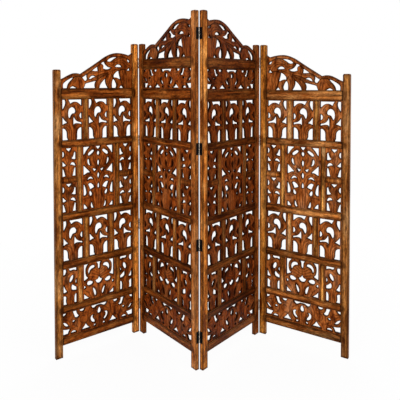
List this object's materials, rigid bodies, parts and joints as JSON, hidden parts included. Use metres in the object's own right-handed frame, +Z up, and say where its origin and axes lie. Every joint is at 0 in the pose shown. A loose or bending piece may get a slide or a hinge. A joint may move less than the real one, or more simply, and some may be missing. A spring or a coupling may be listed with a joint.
{
  "type": "folding room screen",
  "caption": "Folding room divider of hinged carved wooden panels with pierced leaf and scroll tiles between rails and an arched, stepped crest.",
  "frame": {"origin": "on the floor under the middle of the standing screen", "axes": "+Z up, +X along the width of the zigzag, -Y towards the front, where the middle fold stands nearest"},
  "size_m": [1.5658, 0.4122, 1.829],
  "materials": {
    "stile_wood": "golden brown hardwood, satin wax",
    "rail_wood": "dark brown hardwood with golden grain, satin",
    "divider_wood": "golden brown hardwood, satin",
    "carved_wood": "red-brown carved hardwood, dark stain in the recesses",
    "black_iron": "black, semi-gloss"
  },
  "bodies": {
    "panel_1": {"panel_1_stile_left": "stile_wood", "panel_1_stile_right": "stile_wood", "panel_1_rails": "rail_wood", "panel_1_dividers": "divider_wood", "panel_1_base_carving": "carved_wood", "panel_1_slim_carvings": "carved_wood", "panel_1_heart_carving": "carved_wood", "panel_1_hook_carvings": "carved_wood", "panel_1_tulip_carvings": "carved_wood", "panel_1_flower_carving": "carved_wood", "panel_1_crest": "carved_wood", "panel_1_right_leaves": "black_iron", "panel_1_screws": "black_iron"},
    "panel_2": {"panel_2_stile_left": "stile_wood", "panel_2_stile_right": "stile_wood", "panel_2_rails": "rail_wood", "panel_2_dividers": "divider_wood", "panel_2_base_carving": "carved_wood", "panel_2_slim_carvings": "carved_wood", "panel_2_heart_carving": "carved_wood", "panel_2_hook_carvings": "carved_wood", "panel_2_tulip_carvings": "carved_wood", "panel_2_flower_carving": "carved_wood", "panel_2_frieze_carving": "carved_wood", "panel_2_crest": "carved_wood", "panel_2_left_leaves": "black_iron", "panel_2_right_leaves": "black_iron", "panel_2_screws": "black_iron", "left_fold_pins": "black_iron", "centre_fold_pins": "black_iron"},
    "panel_3": {"panel_3_stile_left": "stile_wood", "panel_3_stile_right": "stile_wood", "panel_3_rails": "rail_wood", "panel_3_dividers": "divider_wood", "panel_3_base_carving": "carved_wood", "panel_3_slim_carvings": "carved_wood", "panel_3_heart_carving": "carved_wood", "panel_3_hook_carvings": "carved_wood", "panel_3_tulip_carvings": "carved_wood", "panel_3_flower_carving": "carved_wood", "panel_3_frieze_carving": "carved_wood", "panel_3_crest": "carved_wood", "panel_3_left_leaves": "black_iron", "panel_3_right_leaves": "black_iron", "panel_3_screws": "black_iron", "right_fold_pins": "black_iron"},
    "panel_4": {"panel_4_stile_left": "stile_wood", "panel_4_stile_right": "stile_wood", "panel_4_rails": "rail_wood", "panel_4_dividers": "divider_wood", "panel_4_base_carving": "carved_wood", "panel_4_slim_carvings": "carved_wood", "panel_4_heart_carving": "carved_wood", "panel_4_hook_carvings": "carved_wood", "panel_4_tulip_carvings": "carved_wood", "panel_4_flower_carving": "carved_wood", "panel_4_crest": "carved_wood", "panel_4_left_leaves": "black_iron", "panel_4_screws": "black_iron"}
  },
  "joints": [
    {"name": "left_fold", "type": "hinge", "parent": "panel_2", "child": "panel_1", "pos_m": [-0.35841, 0.18867, 0.64], "axis": [0, 0, 1], "range_deg": [-87, 93]},
    {"name": "centre_fold", "type": "hinge", "parent": "panel_2", "child": "panel_3", "pos_m": [-0.01758, -0.19204, 0.64], "axis": [0, 0, 1], "range_deg": [-98.7, 81.3]},
    {"name": "right_fold", "type": "hinge", "parent": "panel_3", "child": "panel_4", "pos_m": [0.34335, 0.16968, 0.64], "axis": [0, 0, 1], "range_deg": [-99.3, 80.7]}
  ]
}
